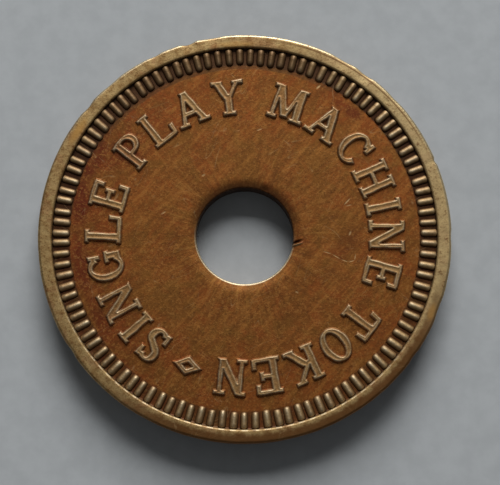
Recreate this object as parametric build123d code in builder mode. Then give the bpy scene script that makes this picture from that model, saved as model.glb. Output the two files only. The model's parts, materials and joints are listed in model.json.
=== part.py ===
"""A struck brass machine token with a centre hole, in millimetres.

The token lies flat: +Z runs up through the hole, +Y points to the top of the obverse, and the
origin is the middle of the hole in the plane of the reverse rim, which it rests on. It is struck
from one blank, so the nodes are the blank and the raised features of its two faces, and each
feature stands on the field and meets it face to face.
"""

import os
from dataclasses import dataclass, field
from math import cos, hypot, pi, radians, sin

from build123d import *

# ---- Blank ---------------------------------------------------------------------------------
diameter = 21.2
rim_thickness = 1.8
hole_diameter = 5.0
hole_edge_radius = 0.08
rim_width = 0.73
shoulder_radius = 0.15  # round between the rim's land and the plain edge
rim_step = 0.07  # the rim stands this much above the denticles

# ---- Denticles: the ring of short radial bars inside the rim --------------------------------
denticle_count = 107
denticle_length = 0.92
denticle_width = 0.36
denticle_height = 0.16

# ---- Legend: raised capitals that read clockwise, with their feet towards the hole ----------
legend_words = ("SINGLE", "PLAY", "MACHINE", "TOKEN")
legend_height = 0.16
legend_margin = 0.78  # plain field between the denticles and the tops of the letters
cap_height = 1.80
letter_gap = 0.06  # between the widths of neighbouring letters, at their feet
word_gap = 0.90
thick_stroke = 0.38
thin_stroke = 0.23
serif_stroke = 0.20

# ---- Stop: the open lozenge between the legend's end and its start --------------------------
stop_angle = 203.5  # clockwise from the top, in degrees
stop_length = 1.50
stop_width = 0.95
stop_wall = 0.48  # across the lozenge's wall, measured along its long axis
stop_lean = 8.0  # the lozenge was punched turned this far from the circle, in degrees
stop_gap = 0.36  # to the letter on each side

# ---- Sizes that follow ----------------------------------------------------------------------
outer_radius = diameter / 2
hole_radius = hole_diameter / 2
rim_inner_radius = outer_radius - rim_width
rim_height = denticle_height + rim_step
denticle_inner_radius = rim_inner_radius - denticle_length
legend_base_radius = denticle_inner_radius - legend_margin - cap_height
stop_centre_radius = legend_base_radius + cap_height / 2
rim_lip_radius = 0.75 * rim_step

obverse_field = Plane.XY.offset(rim_thickness - rim_height)
reverse_field = Plane(origin=(0, 0, rim_height), x_dir=(-1, 0, 0), z_dir=(0, 0, -1))
fields = {"obverse": obverse_field, "reverse": reverse_field}


# ---- Alphabet -------------------------------------------------------------------------------
THICK, THIN, SERIF = thick_stroke, thin_stroke, serif_stroke
LOW, HIGH = 0.045, 0.955  # centre lines of the foot and head serifs


@dataclass
class Letter:
    """A serif capital as the centre lines of its strokes, one cap height tall, feet at y = 0.

    A straight stroke is (x, y, x, y, weight). A bowl is an elliptical arc, (centre x, centre y,
    x radius, y radius, start angle, end angle), thick at its sides and thin at its head and foot.
    """

    width: float
    straights: list
    bowls: list = field(default_factory=list)


def serif(x, y, reach=0.19):
    return (x - reach, y, x + reach, y, SERIF)


def post(x, weight=THICK):
    """An upright as tall as the letter, with a serif at its head and its foot."""
    return [(x, 0, x, 1, weight), serif(x, LOW), serif(x, HIGH)]


alphabet = {
    "A": Letter(1.06, [
        (0.20, 0.02, 0.52, 1.00, THIN),
        (0.50, 1.00, 0.85, 0.02, THICK),
        (0.32, 0.34, 0.74, 0.34, THIN),
        serif(0.20, LOW, 0.17),
        serif(0.84, LOW),
    ]),
    "C": Letter(0.86, [(0.77, 0.64, 0.77, 0.98, THIN)], [(0.45, 0.50, 0.32, 0.45, 34, 325)]),
    "E": Letter(0.86, [
        *post(0.24),
        (0.24, HIGH, 0.78, HIGH, THIN),
        (0.24, LOW, 0.80, LOW, THIN),
        (0.24, 0.51, 0.60, 0.51, THIN),
        (0.77, 1.00, 0.75, 0.72, THIN),
        (0.79, 0.00, 0.81, 0.30, THIN),
        (0.60, 0.38, 0.60, 0.64, SERIF),
    ]),
    "G": Letter(0.96, [
        (0.77, 0.64, 0.77, 0.98, THIN),
        (0.76, 0.04, 0.76, 0.44, THICK),
        serif(0.74, 0.44, 0.18),
    ], [(0.45, 0.50, 0.32, 0.45, 34, 322)]),
    "H": Letter(1.02, [*post(0.24), *post(0.78), (0.24, 0.51, 0.78, 0.51, THIN)]),
    "I": Letter(0.48, post(0.24)),
    "K": Letter(1.02, [
        *post(0.24),
        (0.30, 0.40, 0.80, 0.98, THIN),
        (0.42, 0.56, 0.83, 0.02, THICK),
        serif(0.78, HIGH, 0.17),
        serif(0.82, LOW, 0.17),
    ]),
    "L": Letter(0.88, [
        *post(0.24),
        (0.24, LOW, 0.82, LOW, THIN),
        (0.80, 0.00, 0.83, 0.34, THIN),
    ]),
    "M": Letter(1.16, [
        (0.19, 0.02, 0.22, 0.98, THIN),
        (0.24, 1.00, 0.57, 0.08, THICK),
        (0.57, 0.08, 0.90, 1.00, THIN),
        (0.93, 0.02, 0.93, 0.98, THICK),
        serif(0.19, LOW, 0.15),
        serif(0.93, LOW),
        serif(0.16, HIGH, 0.11),
        serif(1.00, HIGH, 0.12),
    ]),
    "N": Letter(1.02, [
        (0.21, 0.02, 0.21, 0.98, THIN),
        (0.20, 1.00, 0.80, 0.00, THICK),
        (0.81, 0.05, 0.81, 0.98, THIN),
        serif(0.21, LOW, 0.16),
        serif(0.15, HIGH, 0.11),
        serif(0.81, HIGH, 0.17),
    ]),
    "O": Letter(0.84, [], [(0.42, 0.50, 0.31, 0.45, 0, 360)]),
    "P": Letter(0.84, [
        *post(0.24),
        (0.24, 0.485, 0.46, 0.485, THIN),
        (0.24, HIGH, 0.46, HIGH, THIN),
    ], [(0.45, 0.72, 0.27, 0.235, -90, 90)]),
    "S": Letter(0.76, [
        (0.25, 0.58, 0.52, 0.42, THICK),
        (0.61, 0.66, 0.61, 0.98, THIN),
        (0.14, 0.02, 0.14, 0.34, THIN),
    ], [(0.37, 0.73, 0.19, 0.225, 28, 262), (0.39, 0.27, 0.20, 0.225, -152, 82)]),
    "T": Letter(0.88, [
        (0.44, 0.00, 0.44, 0.98, THICK),
        (0.08, HIGH, 0.80, HIGH, THIN),
        (0.09, 1.00, 0.06, 0.66, THIN),
        (0.79, 1.00, 0.82, 0.66, THIN),
        serif(0.44, LOW),
    ]),
    "Y": Letter(1.02, [
        (0.20, 0.98, 0.51, 0.44, THICK),
        (0.82, 0.98, 0.51, 0.44, THIN),
        (0.51, 0.00, 0.51, 0.50, THICK),
        serif(0.20, HIGH, 0.17),
        serif(0.82, HIGH, 0.17),
        serif(0.51, LOW),
    ]),
}

# The letters are stretched or condensed so that the legend and the stop fill the circle exactly.
letters = "".join(legend_words)
feet_circumference = 2 * pi * legend_base_radius
spaces = (
    letter_gap * (len(letters) - len(legend_words))
    + word_gap * (len(legend_words) - 1)
    + stop_length
    + 2 * stop_gap
)
natural_length = cap_height * sum(alphabet[letter].width for letter in letters)
stretch = (feet_circumference - spaces) / natural_length
print(f"letters stretched to {stretch:.3f} of their natural width")


def letter_places():
    """(letter, its width, clockwise angle of its middle) for each letter, from the stop round."""
    travelled = stop_length / 2 + stop_gap
    for word in legend_words:
        for letter in word:
            width = alphabet[letter].width * cap_height * stretch
            yield letter, width, stop_angle + 360 * (travelled + width / 2) / feet_circumference
            travelled += width + letter_gap
        travelled += word_gap - letter_gap


def outward_plane(face, angle, radius):
    """A plane on a field, at a clockwise angle from its top, whose y runs outwards."""
    turn = radians(angle)
    out = face.x_dir * sin(turn) + face.y_dir * cos(turn)
    across = face.x_dir * cos(turn) - face.y_dir * sin(turn)
    return Plane(origin=face.origin + out * radius, x_dir=across, z_dir=face.z_dir)


def draw_straight(x0, y0, x1, y1, weight):
    """A stroke whose ends are cut level, or upright where it lies more across than up."""
    run, rise = x1 - x0, y1 - y0
    if abs(rise) > abs(run):
        dx, dy = weight / 2 * hypot(run, rise) / abs(rise), 0
    else:
        dx, dy = 0, weight / 2 * hypot(run, rise) / abs(run)
    Polygon((x0 - dx, y0 - dy), (x0 + dx, y0 + dy), (x1 + dx, y1 + dy), (x1 - dx, y1 - dy))


def draw_bowl(centre, x_radius, y_radius, start, end):
    """A ring, or part of one, between two ellipses."""
    outer = (x_radius + thick_stroke / 2, y_radius + thin_stroke / 2)
    inner = (x_radius - thick_stroke / 2, y_radius - thin_stroke / 2)
    if end - start == 360:
        with Locations(centre):
            Ellipse(*outer)
            Ellipse(*inner, mode=Mode.SUBTRACT)
        return
    with BuildLine() as outline:
        outside = EllipticalCenterArc(centre, *outer, start, arc_size=end - start)
        inside = EllipticalCenterArc(centre, *inner, start, arc_size=end - start)
        Line(outside @ 0, inside @ 0)
        Line(outside @ 1, inside @ 1)
    make_face(outline.edges())


def draw_letter(letter, width):
    """Draws a letter into the open sketch, its feet on y = 0 and its middle on x = 0."""
    shape = alphabet[letter]
    x_scale = width / shape.width
    for x, y, x_radius, y_radius, start, end in shape.bowls:
        centre = (x * x_scale - width / 2, y * cap_height)
        draw_bowl(centre, x_radius * x_scale, y_radius * cap_height, start, end)
    for x0, y0, x1, y1, weight in shape.straights:
        left, right = (x * x_scale - width / 2 for x in (x0, x1))
        draw_straight(left, y0 * cap_height, right, y1 * cap_height, weight)


# ---- Blank ----------------------------------------------------------------------------------
with BuildPart() as blank:
    with BuildSketch():
        Circle(outer_radius)
    extrude(amount=rim_thickness)
    for face in fields.values():
        with BuildSketch(face):
            Circle(rim_inner_radius)
        extrude(amount=rim_height, mode=Mode.SUBTRACT)
    Hole(hole_radius)
    rings = blank.edges().filter_by(GeomType.CIRCLE).group_by(SortBy.RADIUS)
    fillet(rings[-1], radius=shoulder_radius)
    fillet(rings[0], radius=hole_edge_radius)
    lips = blank.edges().filter_by(GeomType.CIRCLE).filter_by(
        lambda edge: abs(edge.radius - rim_inner_radius) < 1e-6
    ).group_by(Axis.Z)
    fillet(lips[0] + lips[-1], radius=rim_lip_radius)
blank.part.label = "blank"


# ---- Raised features of each face -----------------------------------------------------------
def denticle_ring(face):
    """Bars that run inwards from the rim's wall and end in a round."""
    with BuildPart() as ring:
        with BuildSketch(face):
            with PolarLocations(rim_inner_radius, denticle_count):
                SlotOverall(2 * denticle_length, denticle_width)
            Circle(rim_inner_radius, mode=Mode.INTERSECT)
        extrude(amount=denticle_height)
    return ring


def legend(face):
    """Every letter of the legend as a solid of its own."""
    with BuildPart() as raised:
        for letter, width, angle in letter_places():
            with BuildSketch(outward_plane(face, angle, legend_base_radius)):
                draw_letter(letter, width)
            extrude(amount=legend_height)
    return raised


def stop(face):
    """A lozenge with a lozenge-shaped opening."""
    slimmer = 1 - 2 * stop_wall / stop_length
    with BuildPart() as lozenge:
        with BuildSketch(outward_plane(face, stop_angle, stop_centre_radius)):
            for share, mode in ((1, Mode.ADD), (slimmer, Mode.SUBTRACT)):
                half_length, half_width = share * stop_length / 2, share * stop_width / 2
                Polygon(
                    (-half_length, 0), (0, -half_width), (half_length, 0), (0, half_width),
                    rotation=stop_lean,
                    mode=mode,
                )
        extrude(amount=legend_height)
    return lozenge


made = [blank]
for side, face in fields.items():
    for name, feature in (
        ("denticles", denticle_ring(face)),
        ("legend", legend(face)),
        ("stop", stop(face)),
    ):
        feature.part.label = f"{side}_{name}"
        made.append(feature)

os.makedirs("parts", exist_ok=True)
for piece in made:
    export_step(piece.part, f"parts/{piece.part.label}.step")
    solids = piece.part.solids()
    print(f"{piece.part.label}: {len(solids)} solids, {piece.part.volume:.3f} mm3")
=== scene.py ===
"""A struck brass machine token with a centre hole, lying on a pale floor.

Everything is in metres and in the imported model's frame: the token rests on z = 0 and +Y points to
the top of the obverse. The blank, the denticles, the legends and the stops are modelled afresh as
worn, softly struck metal, and each piece stands for the frame's node of the same name.
"""

import json
import math
import random
from math import cos, hypot, pi, radians, sin, tau

import bmesh
import bpy
from mathutils import Matrix, Vector, noise
from mathutils.bvhtree import BVHTree


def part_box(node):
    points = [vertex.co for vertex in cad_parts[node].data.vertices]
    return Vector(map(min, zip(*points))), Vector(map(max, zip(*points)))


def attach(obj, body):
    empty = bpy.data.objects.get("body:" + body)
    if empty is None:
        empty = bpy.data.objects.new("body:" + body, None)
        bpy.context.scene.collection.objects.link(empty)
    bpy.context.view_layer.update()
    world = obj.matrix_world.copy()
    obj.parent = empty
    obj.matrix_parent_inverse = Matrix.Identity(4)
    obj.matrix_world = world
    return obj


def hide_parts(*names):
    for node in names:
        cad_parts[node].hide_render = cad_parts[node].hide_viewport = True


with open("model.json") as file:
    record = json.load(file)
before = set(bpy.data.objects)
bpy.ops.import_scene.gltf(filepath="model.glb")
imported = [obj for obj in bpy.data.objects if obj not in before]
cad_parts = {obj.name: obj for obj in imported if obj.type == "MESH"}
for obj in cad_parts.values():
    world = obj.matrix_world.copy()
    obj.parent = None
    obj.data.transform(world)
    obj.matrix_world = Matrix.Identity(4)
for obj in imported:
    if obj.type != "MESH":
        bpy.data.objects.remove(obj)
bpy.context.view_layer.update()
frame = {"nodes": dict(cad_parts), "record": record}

MM = 0.001

# ---- Sizes read from the frame -------------------------------------------------------------
mounts = {mount["name"]: mount for mount in frame["record"]["mounts"]}
outer_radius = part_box("blank")[1].x
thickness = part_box("blank")[1].z
middle = thickness / 2
hole_radius = mounts["centre_hole"]["dims"]["r_mm"] * MM
rim_inner_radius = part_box("obverse_denticles")[1].y
field_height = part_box("obverse_legend")[0].z
denticle_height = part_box("obverse_denticles")[1].z - field_height
legend_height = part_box("obverse_legend")[1].z - field_height
shoulder = (thickness - mounts["edge"]["dims"]["length_mm"] * MM) / 2
hole_round = field_height - middle - mounts["centre_hole"]["dims"]["length_mm"] * MM / 2
half_web = field_height - middle  # from the middle of the metal to either field

# ---- Sizes of the strike and of its wear ---------------------------------------------------
spin_steps = 480
field_rings = 40
field_crowding = 1.25  # above 1, the rings crowd towards the hole
field_swell = 0.010 * MM  # broad unevenness of the field
field_ripple = 0.003 * MM  # small unevenness of the field
hole_funnel = 0.075 * MM  # how deep the field sinks towards the hole
funnel_width = 0.30 * MM
rim_wear = 0.012 * MM  # how far the edge is worn in
land_wear = 0.004 * MM  # how far the rim's land is worn down
knock_lowering = 0.35  # how far a knock lowers the land, as a share of its depth
foot_fillet = 0.09 * MM  # where the rim's wall meets the field
lip_round = 0.11 * MM  # where the rim's wall meets its land
sink = 0.04 * MM  # how far raised work is rooted in the field
denticle_count = 107
denticle_length = 0.94 * MM
denticle_foot = 0.49 * MM  # its width where it meets the field
denticle_across, denticle_along = 8, 7  # its faces
blunt_share = 0.26  # the share of its length over which its inner end rises
blunt_width = 0.55  # its width at that end, as a share
ridge_power = 1.1  # above 1, its crest is narrower than a plain round
crest_power = 6  # the same for the pale line along the crest
relief_grid = 0.032 * MM
relief_flare = 0.05 * MM  # how far a letter's foot spreads past its crisp outline
relief_shoulder = 0.075 * MM  # how far in from the outline a letter reaches its full height
relief_spread = 0.02 * MM  # how much fuller than its crisp outline a letter was struck
relief_wobble = 0.03 * MM  # how far a letter's outline wanders
relief_chips = 0.004 * MM  # how uneven the tops are
buried = 0.006 * MM  # how far below the field a letter's skirt ends


def smoothstep(low, high, value):
    share = min(max((value - low) / (high - low), 0.0), 1.0)
    return share * share * (3 - 2 * share)


def clockwise(point):
    """The angle of a point round the token, in degrees clockwise from the top of the obverse."""
    return math.degrees(math.atan2(point.x, point.y)) % 360


def apart(angle, other):
    """The difference between two such angles, signed, in degrees."""
    return (angle - other + 180) % 360 - 180


def in_order(items):
    """Each item once, in the order of its first place. A set's own order changes between runs."""
    return list(dict.fromkeys(items))


def face_outwards(bm):
    """Makes the faces agree with each other and point out of the metal.

    The recalculation alone can turn small closed shapes inside out, which their volume shows.
    """
    bmesh.ops.recalc_face_normals(bm, faces=bm.faces)
    if bm.calc_volume(signed=True) < 0:
        bmesh.ops.reverse_faces(bm, faces=bm.faces)


def finish_piece(name, bm, material, slot, *nodes):
    """Turns a bmesh into a smooth-shaded piece that rides on the token and stands for its nodes."""
    face_outwards(bm)
    mesh = bpy.data.meshes.new(name)
    bm.to_mesh(mesh)
    bm.free()
    mesh.shade_smooth()
    piece = bpy.data.objects.new(name, mesh)
    bpy.context.scene.collection.objects.link(piece)
    mesh.materials.append(material)
    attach(piece, "root")
    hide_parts(*nodes)
    return piece


# ---- Node shortcuts ------------------------------------------------------------------------
class Finish:
    """A material under construction, with short names for the nodes that it is made of."""

    def __init__(self, name):
        self.material = bpy.data.materials.new(name)
        self.material.use_nodes = True
        self.tree = self.material.node_tree
        self.tree.nodes.clear()
        self.output = self.tree.nodes.new("ShaderNodeOutputMaterial")
        self.shader = self.tree.nodes.new("ShaderNodeBsdfPrincipled")
        self.tree.links.new(self.shader.outputs[0], self.output.inputs["Surface"])

    def node(self, kind, inputs=(), output=0, **settings):
        made = self.tree.nodes.new("ShaderNode" + kind)
        for key, value in settings.items():
            setattr(made, key, value)
        for key, value in dict(inputs).items():
            if isinstance(value, bpy.types.NodeSocket):
                self.tree.links.new(value, made.inputs[key])
            else:
                made.inputs[key].default_value = value
        return made.outputs[output]

    def math(self, operation, first, second=0.0, clamp=False):
        return self.node("Math", {0: first, 1: second}, operation=operation, use_clamp=clamp)

    def times(self, first, second):
        return self.math("MULTIPLY", first, second)

    def plus(self, first, second, clamp=False):
        return self.math("ADD", first, second, clamp)

    def less(self, first, second):
        return self.math("SUBTRACT", first, second)

    def between(self, value, low, high, to_low=0.0, to_high=1.0):
        """Rises smoothly from to_low to to_high while value goes from low to high."""
        inputs = {
            "Value": value,
            "From Min": low,
            "From Max": high,
            "To Min": to_low,
            "To Max": to_high,
        }
        return self.node("MapRange", inputs, interpolation_type="SMOOTHSTEP")

    def noise(self, place, scale, detail=3.0, roughness=0.55, distortion=0.0):
        inputs = {
            "Vector": place,
            "Scale": scale,
            "Detail": detail,
            "Roughness": roughness,
            "Distortion": distortion,
        }
        return self.node("TexNoise", inputs)

    def turned(self, place, turn, along=1.0, across=1.0):
        """Coordinates turned about the axis, in units of along by across, so patterns stretch."""
        inputs = {"Vector": place, "Scale": (along, across, 1.0), "Rotation": (0, 0, radians(turn))}
        return self.node("Mapping", inputs, vector_type="TEXTURE")

    def mixed(self, amount, first, second, blend="MIX"):
        inputs = {"Factor": amount, 6: first, 7: second}
        return self.node("Mix", inputs, output=2, data_type="RGBA", blend_type=blend)


def colour(red, green, blue):
    """A colour given as it looks on a screen, from 0 to 255, in the light's own scale."""
    def linear(value):
        value /= 255
        return value / 12.92 if value <= 0.04045 else ((value + 0.055) / 1.055) ** 2.4
    return (linear(red), linear(green), linear(blue), 1.0)


# ---- Brass ---------------------------------------------------------------------------------
# Places and widths in the finish are in millimetres from the middle of the hole.
wall = rim_inner_radius / MM  # where the rim's wall stands
ring_start = (rim_inner_radius - denticle_length) / MM  # where the denticles begin

# Toned metal: the field's own colour and what lies over it.
golden_brown = colour(160, 98, 42)
orange_brown = colour(160, 90, 36)
red_brown = colour(138, 64, 28)
dark_mottle = colour(120, 76, 30)
olive_patch = colour(140, 98, 40)
rusty_patch = colour(156, 78, 32)
dark_streak = colour(112, 66, 28)
pale_streak = colour(196, 134, 64)
dark_spoke = colour(108, 62, 26)
pale_spoke = colour(200, 144, 74)
red_stain = colour(112, 44, 22)
pale_grain = colour(192, 136, 70)
dark_speck = colour(84, 46, 20)

# Rubbed metal, and a pale colour for worn crests and for painted highlights.
olive_gold = colour(198, 168, 114)
rubbed_brown = colour(160, 124, 74)
rubbed_patch = colour(172, 122, 82)
rubbed_speck = colour(112, 78, 42)
denticle_flank = colour(142, 114, 76)
# Pale colour of worn crests and edges, and of painted highlights.
pale_wear_and_highlight = colour(222, 204, 168)
pale_gold = colour(226, 202, 150)
rim_toning = colour(116, 74, 34)
bare_gold = colour(206, 158, 82)
scratched = colour(216, 184, 132)

# Dirt, and painted shade.
# Dirt in the denticles' gaps, and painted shade there.
gap_dirt_and_shade = colour(62, 38, 23)
# A brown laid by the rim's wall at the top of the denticle ring.
top_ring_brown = colour(98, 68, 42)
hole_shade = colour(66, 38, 18)
# Painted shade on the hole's wall.
hole_wall_shade = colour(66, 40, 22)
# Dirt and painted shade in the corners.
corner_grime_and_shade = colour(46, 27, 15)

# Marks on the obverse: start, end, half width, strength.
hook = ((3.99, -0.82), (4.46, -0.96), (4.92, -1.24), (5.30, -1.38), (5.62, -1.29), (5.67, -0.96))
pale_marks = [(start, end, 0.035, 0.8) for start, end in zip(hook, hook[1:])] + [
    ((2.42, -0.56), (2.95, -0.40), 0.06, 0.9),
    ((5.10, 1.58), (5.44, 1.95), 0.05, 0.8),
    ((5.20, 1.52), (5.50, 1.60), 0.04, 0.6),
    ((5.36, 0.02), (5.44, 0.20), 0.07, 0.7),
    ((3.74, 7.74), (3.92, 7.90), 0.07, 0.9),
    ((0.62, 5.50), (0.90, 5.60), 0.05, 0.7),
    ((-4.30, 1.10), (-4.06, 1.24), 0.06, 0.6),
    ((-2.20, 3.10), (-2.06, 3.18), 0.07, 0.6),
    ((2.60, -2.90), (2.72, -2.96), 0.06, 0.6),
]
red_stains = (
    ((-7.20, 5.05), (-8.30, 2.90), 0.62, 0.9),
    ((-8.25, 3.20), (-8.60, 0.00), 0.60, 0.9),
    ((-8.60, 0.30), (-8.10, -3.00), 0.60, 0.8),
    ((-8.15, -2.70), (-6.90, -5.20), 0.45, 0.6),
    ((-6.70, 4.70), (-5.50, 3.90), 0.65, 0.85),
    ((4.60, 7.10), (6.10, 6.10), 0.45, 0.7),
    ((4.80, -1.20), (5.60, 0.30), 0.80, 0.35),
)
gold_spots = (
    ((-9.00, 4.80), (-8.20, 6.10), 0.30, 0.9),
    ((9.60, -3.60), (9.35, -4.30), 0.26, 0.7),
    ((-1.60, 10.00), (0.60, 10.10), 0.22, 0.5),
)

# Handling scratches: turn in degrees, length, spacing, and how sparse their patches are.
scratch_sets = ((24, 7.0, 0.7, 0.52), (-38, 6.0, 0.6, 0.55), (71, 6.0, 0.8, 0.54))
scratch_width = 0.006  # as a share of the noise whose level line a scratch follows


class Brass(Finish):
    """The token's one finish, with the measures and the patterns that its layers share."""

    def __init__(self, name):
        super().__init__(name)
        metres = self.node("TexCoord", output=3)
        self.place = self.node("Mapping", {"Vector": metres, "Scale": (1 / MM,) * 3})
        parts = self.tree.nodes.new("ShaderNodeSeparateXYZ")
        self.tree.links.new(self.place, parts.inputs[0])
        self.x, self.y, z = parts.outputs
        self.flat = self.node("CombineXYZ", {0: self.x, 1: self.y, 2: 0.0})
        self.unit = self.node("VectorMath", {0: self.flat}, operation="NORMALIZE")
        self.radius = self.node("VectorMath", {0: self.flat}, output=1, operation="LENGTH")
        self.from_hole = self.less(self.radius, hole_radius / MM)
        above_middle = self.less(z, middle / MM)
        self.above_field = self.less(self.math("ABSOLUTE", above_middle), half_web / MM)
        self.obverse = self.between(above_middle, 0.3, 0.5)
        self.in_ring = self.between(self.radius, ring_start - 0.2, ring_start - 0.1)
        # The top of the denticle ring, where the crests are made less pale and a brown is laid by
        # the rim's wall.
        self.top_of_ring = self.times(self.in_ring, self.towards(348, 16, 58))
        self.rim_band = self.between(self.radius, wall - 0.06, wall + 0.04)

        # What varies slowly over a face, and what varies ever more finely.
        self.cloud = self.noise(self.place, 0.32, 3.0, 0.55, 0.4)
        self.patches = self.noise(self.place, 0.9, 3.0, 0.6, 0.6)
        self.mottle = self.noise(self.place, 2.2, 4.0, 0.65)
        self.grain = self.noise(self.place, 8.0, 3.0, 0.7)
        self.speck = self.noise(self.place, 15.0, 2.0, 0.6)

    def towards(self, angle, narrow, wide):
        """Fades in towards a clockwise angle: 1 inside narrow degrees of it, 0 outside wide."""
        way = (sin(radians(angle)), cos(radians(angle)), 0)
        facing = self.node("VectorMath", {0: self.unit, 1: way}, output=1, operation="DOT_PRODUCT")
        return self.between(facing, cos(radians(wide)), cos(radians(narrow)))

    def ring(self, start, full, fading, end):
        """A ring round the token that fades in and out at these distances past the rim's wall."""
        inner = self.between(self.radius, wall + start, wall + full)
        return self.times(inner, self.between(self.radius, wall + end, wall + fading))

    def marks(self, wanted):
        """Tapered strokes or long soft spots, each from its start to its end."""
        together = 0.0
        for start, end, half_width, strength in wanted:
            run, rise = end[0] - start[0], end[1] - start[1]
            inputs = {
                "Vector": self.flat,
                "Location": ((start[0] + end[0]) / 2, (start[1] + end[1]) / 2, 0),
                "Rotation": (0, 0, math.atan2(rise, run)),
                "Scale": (hypot(run, rise) / 2 + half_width, half_width, 1.0),
            }
            local = self.node("Mapping", inputs, vector_type="TEXTURE")
            spot = self.node("TexGradient", {"Vector": local}, output=1, gradient_type="SPHERICAL")
            together = self.math("MAXIMUM", together, self.between(spot, 0.0, 0.7, 0.0, strength))
        return together

    def hairlines(self, turn, along, across, gate):
        """Thin, slightly bowed handling scratches in one direction, broken up by a gate."""
        bowed = self.noise(self.turned(self.place, turn, along, across), 1.0, 1.5, 0.45)
        line = self.between(self.math("ABSOLUTE", self.less(bowed, 0.5)), scratch_width, 0.0)
        gated = self.noise(self.turned(self.place, turn + 31), 0.8, 2.0)
        return self.times(line, self.between(gated, gate, gate + 0.08))


def toned_metal(brass):
    """The field: golden brown, more orange towards the denticles, redder on the left."""
    outskirts = brass.between(brass.plus(brass.radius, brass.times(brass.cloud, 3.0)), 6.6, 8.9)
    toned = brass.mixed(brass.times(outskirts, 0.8), golden_brown, orange_brown)
    leftward = brass.between(brass.plus(brass.x, brass.times(brass.cloud, 5.0)), 2.5, -5.5)
    redder = brass.times(leftward, brass.between(brass.radius, 5.2, 8.2))
    toned = brass.mixed(brass.times(redder, 0.7), toned, red_brown)
    toned = brass.mixed(brass.between(brass.mottle, 0.35, 0.72, 0.0, 0.6), toned, dark_mottle)
    toned = brass.mixed(brass.between(brass.patches, 0.46, 0.62, 0.0, 0.45), toned, olive_patch)
    toned = brass.mixed(brass.between(brass.patches, 0.46, 0.34, 0.0, 0.40), toned, rusty_patch)
    toned = streaked(brass, toned)
    stains = brass.times(brass.marks(red_stains), brass.between(brass.mottle, 0.3, 0.6, 0.4, 1.0))
    toned = brass.mixed(brass.times(stains, brass.obverse), toned, red_stain)
    toned = brass.mixed(brass.between(brass.grain, 0.5, 0.66, 0.0, 0.5), toned, pale_grain)
    return brass.mixed(brass.between(brass.speck, 0.46, 0.30, 0.0, 0.50), toned, dark_speck)


def streaked(brass, toned):
    """Adds the slanting streaks of the rolled strip, and the spokes that spread from the hole."""
    streaks = brass.noise(brass.turned(brass.place, 48, 1.3, 0.2), 1.0, 3.0)
    toned = brass.mixed(brass.between(streaks, 0.52, 0.36, 0.0, 0.30), toned, dark_streak)
    toned = brass.mixed(brass.between(streaks, 0.54, 0.66, 0.0, 0.30), toned, pale_streak)
    spokes = brass.node("VectorMath", {0: brass.unit, "Scale": 21.0}, operation="SCALE")
    outwards = brass.node("CombineXYZ", {0: 0.0, 1: 0.0, 2: brass.times(brass.from_hole, 0.45)})
    spokes = brass.node("VectorMath", {0: spokes, 1: outwards}, operation="ADD")
    spokes = brass.noise(spokes, 1.0, 4.0, 0.6)
    near_hole = brass.between(brass.from_hole, 3.8, 0.6, 0.15, 1.0)
    dark = brass.times(near_hole, brass.between(spokes, 0.48, 0.34, 0.0, 0.45))
    toned = brass.mixed(dark, toned, dark_spoke)
    pale = brass.times(near_hole, brass.between(spokes, 0.55, 0.68, 0.0, 0.35))
    return brass.mixed(pale, toned, pale_spoke)


def rubbed_metal(brass):
    """What handling keeps clear of toning: olive gold, with browner patches and specks."""
    rubbed = brass.mixed(brass.between(brass.mottle, 0.35, 0.7), olive_gold, rubbed_brown)
    rubbed = brass.mixed(brass.between(brass.patches, 0.50, 0.62, 0.0, 0.4), rubbed, rubbed_patch)
    return brass.mixed(brass.between(brass.speck, 0.5, 0.32, 0.0, 0.6), rubbed, rubbed_speck)


def rubbed_over(brass, toned):
    """Lays rubbed metal over the rim, and more thinly over the tops of the raised work."""
    uneven = brass.times(brass.less(brass.mottle, 0.5), 0.05)
    tops = brass.between(brass.plus(brass.above_field, uneven), 0.05, 0.13)
    slow = brass.plus(brass.cloud, brass.times(brass.mottle, 0.5))
    tops = brass.times(tops, brass.between(slow, 0.55, 0.95, 0.35, 0.8))
    flanks = brass.times(brass.in_ring, brass.between(brass.above_field, 0.0, 0.06, 0.0, 0.7))
    skin = brass.mixed(flanks, toned, denticle_flank)
    return brass.mixed(brass.math("MAXIMUM", tops, brass.rim_band), skin, rubbed_metal(brass))


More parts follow.
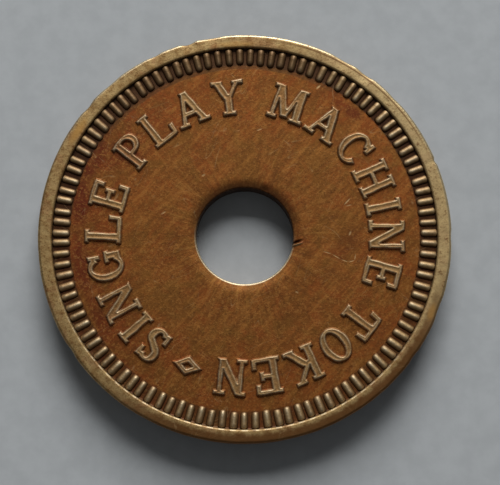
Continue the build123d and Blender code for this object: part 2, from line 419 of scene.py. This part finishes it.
def wear_and_painted_highlights(brass):
    """Where the metal is palest: crests and edges, worn pale and painted paler as a highlight, and
    painted highlights on the outer shoulder, the rim's wall and the hole's lip.
    """
    crests = brass.node("Attribute", output=2, attribute_name="worn")
    keen = brass.plus(brass.mottle, brass.times(brass.grain, 0.6))
    keen = brass.times(brass.between(keen, 0.62, 0.98, 0.15, 0.95), 0.7)
    keen = brass.plus(keen, brass.times(brass.in_ring, 0.3))
    worn = brass.times(brass.times(crests, keen), brass.plus(1.0, brass.times(brass.top_of_ring, -0.5)))

    # Painted highlight on the outer shoulder, on the upper side that faces the light.
    far_out = brass.plus(brass.radius, brass.times(brass.grain, 0.12))
    painted_shoulder_highlight = brass.between(far_out, wall + 0.62, wall + 0.70)
    painted_shoulder_highlight = brass.times(painted_shoulder_highlight, brass.towards(18, 48, 95))
    worn = brass.math("MAXIMUM", worn, brass.times(painted_shoulder_highlight, 0.9))

    # Painted glints on the rim's wall between the denticles, on the lower side where the wall faces
    # the light.
    beat = brass.math("ARCTAN2", brass.x, brass.y)
    beat = brass.math("COSINE", brass.times(beat, float(denticle_count)))
    beyond_ridges = brass.between(beat, 0.5, -0.3, 0.15, 1.0)
    painted_rim_wall_glints = brass.times(brass.ring(-0.02, 0.02, 0.06, 0.10), beyond_ridges)
    painted_rim_wall_glints = brass.times(painted_rim_wall_glints, brass.towards(185, 45, 80))
    painted_rim_wall_glints = brass.times(painted_rim_wall_glints, brass.between(brass.grain, 0.35, 0.55, 0.3, 0.8))
    worn = brass.math("MAXIMUM", worn, painted_rim_wall_glints)

    # Painted highlight on the hole's lip, on the lower side where it faces the light.
    painted_hole_lip_highlight = brass.times(brass.between(brass.from_hole, 0.11, 0.05), brass.towards(188, 60, 105))
    painted_hole_lip_highlight = brass.times(painted_hole_lip_highlight, brass.between(brass.grain, 0.3, 0.5, 0.6, 1.0))
    return brass.math("MAXIMUM", worn, painted_hole_lip_highlight)


def toned_rim(brass, skin):
    """Toning that the rim keeps on its outer side, and bare gold where it was rubbed last."""
    eastern = brass.times(brass.towards(68, 28, 62), brass.rim_band)
    skin = brass.mixed(brass.times(eastern, 0.45), skin, pale_gold)
    outer = brass.plus(brass.radius, brass.times(brass.mottle, 0.35))
    outer = brass.between(outer, wall + 0.30, wall + 0.55)
    below = brass.times(brass.times(brass.towards(163, 34, 68), outer), 0.9)
    freckles = brass.times(brass.between(brass.grain, 0.52, 0.64), brass.rim_band)
    freckles = brass.times(freckles, brass.between(brass.mottle, 0.4, 0.6, 0.15, 0.7))
    # A dark line just inside the outer edge on the upper right.
    dark_edge_line = brass.times(brass.ring(0.42, 0.48, 0.49, 0.55), brass.towards(36, 14, 34))
    toning = brass.math("MAXIMUM", brass.math("MAXIMUM", below, freckles), brass.times(dark_edge_line, 0.8))
    skin = brass.mixed(toning, skin, rim_toning)
    bare = brass.times(brass.times(brass.marks(gold_spots), brass.obverse), brass.rim_band)
    return brass.mixed(brass.times(bare, 0.7), skin, bare_gold)


def dirt_and_shade_in_corners(brass):
    """Where neighbouring metal closes a spot in: dirt that stays there, and painted shade."""
    open_air = brass.node("AmbientOcclusion", {"Distance": 0.20 * MM}, output=1, samples=8)
    closed_in_dirt_and_shade = brass.between(brass.plus(open_air, brass.times(brass.mottle, 0.25)), 0.98, 0.58)
    return brass.times(closed_in_dirt_and_shade, brass.between(brass.above_field, 0.14, 0.04, 0.2, 1.0))


def dirtied_and_shaded(brass, skin, closed_in_dirt_and_shade):
    """Adds dirt and painted shade in the denticles' gaps, a brown by the rim's wall at the top of
    the ring, painted shade round the upper side of the hole and on its wall, and dirt and painted
    shade in the corners.
    """
    in_gap = brass.between(brass.radius, ring_start - 0.02, ring_start + 0.10)
    in_gap = brass.times(in_gap, brass.between(brass.above_field, 0.12, 0.03))
    # Dirt in the denticles' gaps, with painted shade that deepens towards the top.
    gap_dirt_and_top_shade = brass.plus(0.5, brass.times(brass.towards(0, 60, 150), 0.4))
    skin = brass.mixed(brass.times(in_gap, gap_dirt_and_top_shade), skin, gap_dirt_and_shade)
    # A brown laid near the rim's wall at the top of the denticle ring.
    top_ring_fill = brass.times(brass.top_of_ring, 0.6)
    top_ring_fill = brass.times(top_ring_fill, brass.between(brass.radius, wall, wall - 0.1))
    skin = brass.mixed(top_ring_fill, skin, top_ring_brown)
    # Painted shade round the upper side of the hole.
    shade_above_hole = brass.times(brass.towards(0, 40, 115), brass.between(brass.from_hole, 0.60, 0.02))
    skin = brass.mixed(brass.times(shade_above_hole, 0.75), skin, hole_shade)
    # Painted shade on the hole's wall.
    shaded_hole_wall = brass.between(brass.from_hole, 0.06, 0.03)
    shaded_hole_wall = brass.times(shaded_hole_wall, brass.between(brass.above_field, -0.12, -0.16))
    skin = brass.mixed(brass.times(shaded_hole_wall, 0.85), skin, hole_wall_shade)
    # Dirt and painted shade in the corners.
    return brass.mixed(brass.times(closed_in_dirt_and_shade, 0.7), skin, corner_grime_and_shade)


def scratches_on(brass):
    """Fine scratches from handling, and the single ones that stand out on the obverse."""
    fine = 0.0
    for turn, along, across, gate in scratch_sets:
        fine = brass.math("MAXIMUM", fine, brass.hairlines(turn, along, across, gate))
    single = brass.times(brass.marks(pale_marks), brass.obverse)
    return brass.math("MAXIMUM", brass.times(fine, 0.28), single)


def roughness_of(brass, worn, closed_in_dirt_and_shade):
    rough = brass.between(brass.grain, 0.3, 0.7, 0.56, 0.66)
    rough = brass.plus(rough, brass.times(worn, -0.12))
    rough = brass.plus(rough, brass.times(closed_in_dirt_and_shade, 0.15))
    polished_edge = brass.between(brass.radius, wall + 0.53, wall + 0.62, 0.0, -0.14)
    rough = brass.plus(rough, polished_edge)
    return brass.plus(rough, brass.between(brass.cloud, 0.35, 0.65, -0.03, 0.04), clamp=True)


def small_relief(brass, scratches):
    relief = brass.plus(brass.times(brass.mottle, 0.9), brass.times(brass.grain, 0.5))
    relief = brass.plus(relief, brass.times(brass.speck, 0.28))
    relief = brass.plus(relief, brass.times(scratches, -0.35))
    return brass.node("Bump", {"Strength": 0.7, "Distance": 0.022 * MM, "Height": relief})


def make_brass(name):
    brass = Brass(name)
    # worn holds the pale wear of crests and edges, painted paler as a highlight, and the painted
    # highlights of the shoulder, rim wall and hole lip.
    worn = wear_and_painted_highlights(brass)
    closed_in_dirt_and_shade = dirt_and_shade_in_corners(brass)
    scratches = scratches_on(brass)
    skin = rubbed_over(brass, toned_metal(brass))
    # Paints the pale wear and the painted highlights over the skin.
    skin = brass.mixed(worn, skin, pale_wear_and_highlight)
    skin = toned_rim(brass, skin)
    skin = dirtied_and_shaded(brass, skin, closed_in_dirt_and_shade)
    skin = brass.mixed(brass.times(scratches, 0.85), skin, scratched)

    sockets = brass.shader.inputs
    brass.tree.links.new(skin, sockets["Base Color"])
    brass.tree.links.new(roughness_of(brass, worn, closed_in_dirt_and_shade), sockets["Roughness"])
    brass.tree.links.new(small_relief(brass, scratches), sockets["Normal"])
    sockets["Metallic"].default_value = 0.85
    sockets["Coat Weight"].default_value = 0.2
    sockets["Coat Roughness"].default_value = 0.35
    return brass.material


# ---- Blank ---------------------------------------------------------------------------------
def arc(centre, radius, start, end, count):
    """Points (distance from the axis, height) on an arc. Angles are in degrees, and 90 is up."""
    for step in range(count + 1):
        angle = radians(start + (end - start) * step / count)
        yield centre[0] + radius * cos(angle), centre[1] + radius * sin(angle)


def upper_profile():
    """Half of the section, from the middle of the hole's wall up and out to the middle of the edge.

    Heights are measured from the middle of the metal.
    """
    land = middle
    points = [(hole_radius, 0.0), (hole_radius, (half_web - hole_round) / 2)]
    points += arc((hole_radius + hole_round, half_web - hole_round), hole_round, 180, 90, 6)
    first, last = hole_radius + hole_round, rim_inner_radius - foot_fillet
    for ring in range(1, field_rings):
        points.append((first + (last - first) * (ring / field_rings) ** field_crowding, half_web))
    points += arc((last, half_web + foot_fillet), foot_fillet, -90, 0, 4)
    points += arc((rim_inner_radius + lip_round, land - lip_round), lip_round, 180, 90, 5)
    start, end = rim_inner_radius + lip_round, outer_radius - shoulder
    for share in (0.25, 0.5, 0.75):
        points.append((start + (end - start) * share, land))
    points += arc((end, land - shoulder), shoulder, 90, 0, 8)
    points.append((outer_radius, (land - shoulder) / 2))
    return points


# Knocks on the rim: clockwise angle, half width in degrees, depth, which face it came from.
rim_knocks = (
    (343.6, 2.4, 0.11 * MM, 1),
    (350.5, 4.0, 0.04 * MM, 1),
    (29.5, 4.0, 0.05 * MM, 1),
    (36.5, 3.4, 0.08 * MM, 1),
    (47.5, 3.0, 0.03 * MM, 1),
    (68.5, 0.8, 0.07 * MM, 1),
    (90.5, 2.2, 0.03 * MM, 1),
    (111.0, 4.0, 0.05 * MM, 1),
    (126.0, 2.4, 0.04 * MM, 1),
    (309.5, 2.6, 0.06 * MM, 1),
    (319.0, 3.6, 0.03 * MM, 1),
    (333.5, 2.2, 0.05 * MM, 1),
    (236.0, 2.5, 0.04 * MM, 1),
    (215.0, 3.5, 0.04 * MM, -1),
    (20.0, 2.5, 0.08 * MM, -1),
    (150.0, 4.0, 0.06 * MM, -1),
)


def knock_rim(point):
    """Moves a point of the rim or edge inwards where the token has been knocked."""
    distance = hypot(point.x, point.y)
    reach = smoothstep(rim_inner_radius, outer_radius, distance)
    if not reach:
        return
    angle = clockwise(point)
    up = (point.z - middle) / middle
    inwards = rim_wear * (1 + noise.noise(Vector((point.x, point.y, 0)) / MM * 0.9))
    lower = land_wear * (1 + noise.noise(Vector((point.x, point.y, up)) / MM * 1.7))
    for centre, half_width, depth, side in rim_knocks:
        share = max(0.0, 1 - (apart(angle, centre) / half_width) ** 2)
        bite = depth * share ** 1.3 * smoothstep(-0.6, 0.9, up * side)
        inwards += bite
        lower += knock_lowering * bite
    scale = 1 - inwards * reach / distance
    point.x *= scale
    point.y *= scale
    point.z -= lower * reach * up


# The tear that the punch left in the hole's edge on the obverse, and a dark nick above it.
tear_start = Vector((2.36, -0.48)) * MM
tear_end = Vector((3.02, -0.27)) * MM
tear_angle = 98  # clockwise, in degrees
tear_patch = 14  # the blank's mesh is finer within this many degrees of it
tear_patch_radius = 3.3 * MM
groove_depth = 0.12 * MM
burr_height = 0.07 * MM
nick_place = Vector((1.04, 2.38)) * MM
nick_width = 0.13 * MM
nick_depth = 0.06 * MM


def tear_hole(point):
    """Cuts the tear's groove, raises the burr beside it, and presses in the nick."""
    if point.z < middle:
        return
    flat = Vector((point.x, point.y))
    along = (tear_end - tear_start).normalized()
    offset = flat - tear_start
    travelled = offset.dot(along)
    aside = offset.x * -along.y + offset.y * along.x  # to the left of the tear's run
    fade = smoothstep(-0.25 * MM, 0.0, travelled)
    fade *= smoothstep(1.0, 0.55, travelled / (tear_end - tear_start).length)
    point.z -= groove_depth * fade * math.exp(-((aside - 0.05 * MM) / (0.055 * MM)) ** 2)
    point.z += burr_height * fade * math.exp(-((aside + 0.07 * MM) / (0.05 * MM)) ** 2)
    near = (flat - nick_place).length / nick_width
    point.z -= nick_depth * math.exp(-near * near)


def undulate_field(point):
    """Struck metal never lies dead flat between the features."""
    distance = hypot(point.x, point.y)
    inside = smoothstep(hole_radius, hole_radius + 0.4 * MM, distance)
    inside *= smoothstep(rim_inner_radius, rim_inner_radius - 0.4 * MM, distance)
    side = 1 if point.z > middle else -1
    broad = noise.noise(Vector((point.x, point.y, side * 3 * MM)) / MM * 0.45)
    small = noise.noise(Vector((point.x, point.y, side * 5 * MM)) / MM * 1.6)
    point.z += side * inside * (field_swell * broad + field_ripple * small)
    if abs(point.z - middle) > half_web - 2 * hole_round and distance < rim_inner_radius / 2:
        point.z -= side * hole_funnel * math.exp(-((distance - hole_radius) / funnel_width) ** 2)


def make_blank(material):
    bm = bmesh.new()
    upper = upper_profile()
    lower = [(distance, -height) for distance, height in reversed(upper[1:-1])]
    verts = [bm.verts.new((distance, 0, middle + height)) for distance, height in upper + lower]
    edges = [bm.edges.new((verts[i - 1], verts[i])) for i in range(len(verts))]
    bmesh.ops.spin(
        bm,
        geom=verts + edges,
        cent=(0, 0, 0),
        axis=(0, 0, 1),
        dvec=(0, 0, 0),
        angle=tau,
        steps=spin_steps,
        use_merge=True,
    )
    bmesh.ops.remove_doubles(bm, verts=bm.verts, dist=0.0005 * MM)

    def torn(vert):
        near = hypot(vert.co.x, vert.co.y) < tear_patch_radius
        beside = abs(apart(clockwise(vert.co), tear_angle)) < tear_patch
        return vert.co.z > middle and near and beside

    around_tear = [edge for edge in bm.edges if torn(edge.verts[0]) and torn(edge.verts[1])]
    bmesh.ops.subdivide_edges(bm, edges=around_tear, cuts=2, use_grid_fill=True)
    for vert in bm.verts:
        undulate_field(vert.co)
        knock_rim(vert.co)
        tear_hole(vert.co)
    return finish_piece("blank_struck", bm, material, "toned_brass", "blank")


# ---- Denticles -----------------------------------------------------------------------------
def add_denticle(bm, angle, side, chance):
    """One ridge with a rounded crest and a blunt inner end, which runs out into the rim's wall."""
    worn = bm.verts.layers.float["worn"]
    grid = {"x_segments": denticle_across, "y_segments": denticle_along, "size": 1.0}
    bar = bmesh.ops.create_grid(bm, **grid)["verts"]
    width = denticle_foot * chance.uniform(0.93, 1.05)
    length = denticle_length * chance.uniform(0.93, 1.03)
    height = denticle_height * chance.uniform(0.84, 1.0)
    lean = chance.uniform(-0.08, 0.08)
    turn = Matrix.Rotation(-radians(angle + chance.uniform(-0.25, 0.25)), 4, "Z")
    for vert in bar:
        u = vert.co.x  # across, from -1 to 1
        v = ((vert.co.y + 1) / 2) ** 1.5  # outwards from the inner end, from 0 to 1
        end = min(v / blunt_share, 1.0)
        rounding = math.sqrt(max(0.0, 1 - (1 - end) ** 2))
        ridge = max(0.0, cos(u * pi / 2))
        crest = ridge ** ridge_power * rounding * (1 + 0.2 * smoothstep(0.6, 1.0, v))
        pale = smoothstep(0.01, 0.12, v) * (1 - 0.45 * smoothstep(0.25, 0.5, v))
        # The pale line along the crest: wear, painted paler still as a highlight.
        vert[worn] = ridge ** (ridge_power * crest_power) * pale
        place = Vector((
            u * width / 2 * (blunt_width + (1 - blunt_width) * rounding) + lean * v * width,
            rim_inner_radius + lip_round - (length + lip_round) * (1 - v),
            height * crest,
        ))
        if abs(u) > 0.999 or v < 0.001 or v > 0.999:
            place.z = -sink
        place.z = middle + side * (half_web + place.z)
        vert.co = turn @ place
    rim = in_order(edge for vert in bar for edge in vert.link_edges if edge.is_boundary)
    bmesh.ops.holes_fill(bm, edges=rim, sides=0)


def make_denticles(name, side, material):
    bm = bmesh.new()
    bm.verts.layers.float.new("worn")
    chance = random.Random(name)
    for count in range(denticle_count):
        add_denticle(bm, 360 * (count + 0.5) / denticle_count, side, chance)
    return finish_piece(name + "_struck", bm, material, "rubbed_brass", name)


# ---- Legend and stop -----------------------------------------------------------------------
def islands(bm):
    """The separate solids of a bmesh, each as a list of its faces, in the order of the faces."""
    seen = set()
    for start in bm.faces:
        if start in seen:
            continue
        seen.add(start)
        found = [start]
        for face in found:
            for edge in face.edges:
                for other in edge.link_faces:
                    if other not in seen:
                        seen.add(other)
                        found.append(other)
        yield found


def tree_of(faces):
    corners = [loop.vert.co.copy() for face in faces for loop in face.loops]
    triangles = [(i, i + 1, i + 2) for i in range(0, len(corners), 3)]
    return BVHTree.FromPolygons(corners, triangles)


def soft_height(inside_by, strength):
    """Height of worn relief at a distance inside its outline, or outside where negative."""
    rise = smoothstep(-relief_flare, relief_shoulder, inside_by)
    dish = 1.0 - 0.13 * smoothstep(relief_shoulder, 2.6 * relief_shoulder, inside_by)
    return legend_height * strength * rise * dish - buried


def add_soft_solid(bm, faces, side):
    """Adds a worn copy of one crisp raised solid."""
    tops = [face for face in faces if face.normal.z * side > 0.9]
    walls = [face for face in faces if abs(face.normal.z) < 0.1]
    top_tree, wall_tree = tree_of(tops), tree_of(walls)
    corners = [vert.co for face in tops for vert in face.verts]
    centre = sum(corners, Vector()) / len(corners)
    turn = Matrix.Rotation(-math.atan2(centre.x, centre.y), 3, "Z")
    back = turn.inverted()
    level = [back @ corner for corner in corners]
    margin = relief_flare + relief_spread + relief_wobble + relief_grid
    low = [min(corner[axis] for corner in level) - margin for axis in (0, 1)]
    high = [max(corner[axis] for corner in level) + margin for axis in (0, 1)]
    spans = [high[axis] - low[axis] for axis in (0, 1)]
    grid = bmesh.ops.create_grid(
        bm,
        x_segments=math.ceil(spans[0] / relief_grid),
        y_segments=math.ceil(spans[1] / relief_grid),
        size=0.5,
    )["verts"]
    half_way = middle + side * (half_web + legend_height / 2)
    above = middle + side * (half_web + 2 * legend_height)
    worn = bm.verts.layers.float["worn"]
    heights = {}
    for vert in grid:
        place = turn @ Vector((
            low[0] + (vert.co.x + 0.5) * spans[0],
            low[1] + (vert.co.y + 0.5) * spans[1],
            0,
        ))
        distance = wall_tree.find_nearest((place.x, place.y, half_way))[3]
        inside = top_tree.ray_cast((place.x, place.y, above), (0, 0, -side))[0] is not None
        spot = Vector((place.x, place.y, side * MM)) / MM
        wear = noise.noise(spot * 0.55)
        chips = noise.noise(spot * 3.1)
        inside_by = distance if inside else -distance
        inside_by += relief_spread + relief_wobble * noise.noise(spot * 1.9)
        height = soft_height(inside_by, 0.93 + 0.12 * wear)
        from_edge = (inside_by - 0.8 * relief_shoulder) / (0.7 * relief_shoulder)
        # The pale line along the letter's outline: wear, painted paler still as a highlight.
        vert[worn] = math.exp(-from_edge ** 2)
        height += relief_chips * chips * smoothstep(0, legend_height, height)
        height = min(height, legend_height)
        heights[vert] = height
        vert.co = (place.x, place.y, middle + side * (half_web + height))
    spare, kept = [], []
    for face in in_order(face for vert in grid for face in vert.link_faces):
        outside = all(heights[vert] < -0.95 * buried for vert in face.verts)
        (spare if outside else kept).append(face)
    bmesh.ops.delete(bm, geom=spare, context="FACES")
    root = bmesh.ops.extrude_face_region(bm, geom=kept, use_keep_orig=True)["geom"]
    floor_level = middle + side * (half_web - sink)
    rooted = [item for item in root if isinstance(item, bmesh.types.BMVert)]
    for vert in rooted:
        vert.co.z = floor_level
    flat_edges = [item for item in root if isinstance(item, bmesh.types.BMEdge)]
    bmesh.ops.dissolve_limit(
        bm,
        angle_limit=radians(1),
        verts=rooted,
        edges=[edge for edge in flat_edges if edge.is_valid and not edge.is_boundary],
    )


def make_relief(name, side, material):
    crisp = bmesh.new()
    crisp.from_mesh(frame["nodes"][name].data)
    bmesh.ops.remove_doubles(crisp, verts=crisp.verts, dist=0.0002 * MM)
    bmesh.ops.triangulate(crisp, faces=crisp.faces)
    crisp.normal_update()
    bm = bmesh.new()
    bm.verts.layers.float.new("worn")
    for faces in islands(crisp):
        add_soft_solid(bm, faces, side)
    crisp.free()
    return finish_piece(name + "_struck", bm, material, "rubbed_brass", name)


# ---- Stage: floor, light and camera --------------------------------------------------------
def make_floor():
    paper = Finish("pale_floor")
    fibres = paper.noise(paper.node("TexCoord", output=3), 900.0, 4.0, 0.6)
    share = paper.between(fibres, 0.3, 0.7)
    tint = paper.mixed(share, colour(193, 197, 199), colour(201, 205, 207))
    paper.tree.links.new(tint, paper.shader.inputs["Base Color"])
    paper.shader.inputs["Roughness"].default_value = 0.95
    paper.shader.inputs["Specular IOR Level"].default_value = 0.1
    bm = bmesh.new()
    bmesh.ops.create_grid(bm, x_segments=1, y_segments=1, size=0.6)
    mesh = bpy.data.meshes.new("floor")
    bm.to_mesh(mesh)
    bm.free()
    mesh.materials.append(paper.material)
    floor = bpy.data.objects.new("floor", mesh)
    bpy.context.scene.collection.objects.link(floor)


def add_panel(name, angle, elevation, distance, size, radiance):
    """A soft square light aimed at the token, angle clockwise from the top of the obverse."""
    light = bpy.data.lights.new(name, "AREA")
    light.shape = "SQUARE"
    light.size = size
    light.energy = radiance * pi * size * size
    lamp = bpy.data.objects.new(name, light)
    way = Vector((
        sin(radians(angle)) * cos(radians(elevation)),
        cos(radians(angle)) * cos(radians(elevation)),
        sin(radians(elevation)),
    ))
    lamp.location = way * distance
    lamp.rotation_euler = way.to_track_quat("Z", "Y").to_euler()
    bpy.context.scene.collection.objects.link(lamp)


def light_stage():
    world = bpy.data.worlds.new("studio")
    bpy.context.scene.world = world
    world.use_nodes = True
    background = world.node_tree.nodes["Background"]
    background.inputs["Color"].default_value = (0.95, 0.98, 1.0, 1.0)
    background.inputs["Strength"].default_value = 0.075
    add_panel("window", angle=4, elevation=34, distance=0.5, size=0.30, radiance=8.3)


def aim_camera():
    """Looks down from a little below the token's foot, with its top towards the top of the view."""
    view_width = 25.85 * MM
    aim = Vector((0.27, -0.27, 0.9)) * MM
    data = bpy.data.cameras.new("camera")
    data.lens = 100
    data.clip_start = 0.005
    distance = view_width * data.lens / data.sensor_width
    camera = bpy.data.objects.new("camera", data)
    elevation = radians(81.5)
    camera.location = aim + Vector((0, -cos(elevation), sin(elevation))) * distance
    camera.rotation_euler = (pi / 2 - elevation, 0, 0)
    bpy.context.scene.collection.objects.link(camera)
    bpy.context.scene.camera = camera
    bpy.context.scene.view_settings.view_transform = "Standard"


aim_camera()
light_stage()
make_floor()
toned_brass = make_brass("toned_brass")
rubbed_brass = make_brass("rubbed_brass")
make_blank(toned_brass)
for face, side in (("obverse", 1), ("reverse", -1)):
    make_denticles(face + "_denticles", side, rubbed_brass)
    make_relief(face + "_legend", side, rubbed_brass)
    make_relief(face + "_stop", side, rubbed_brass)
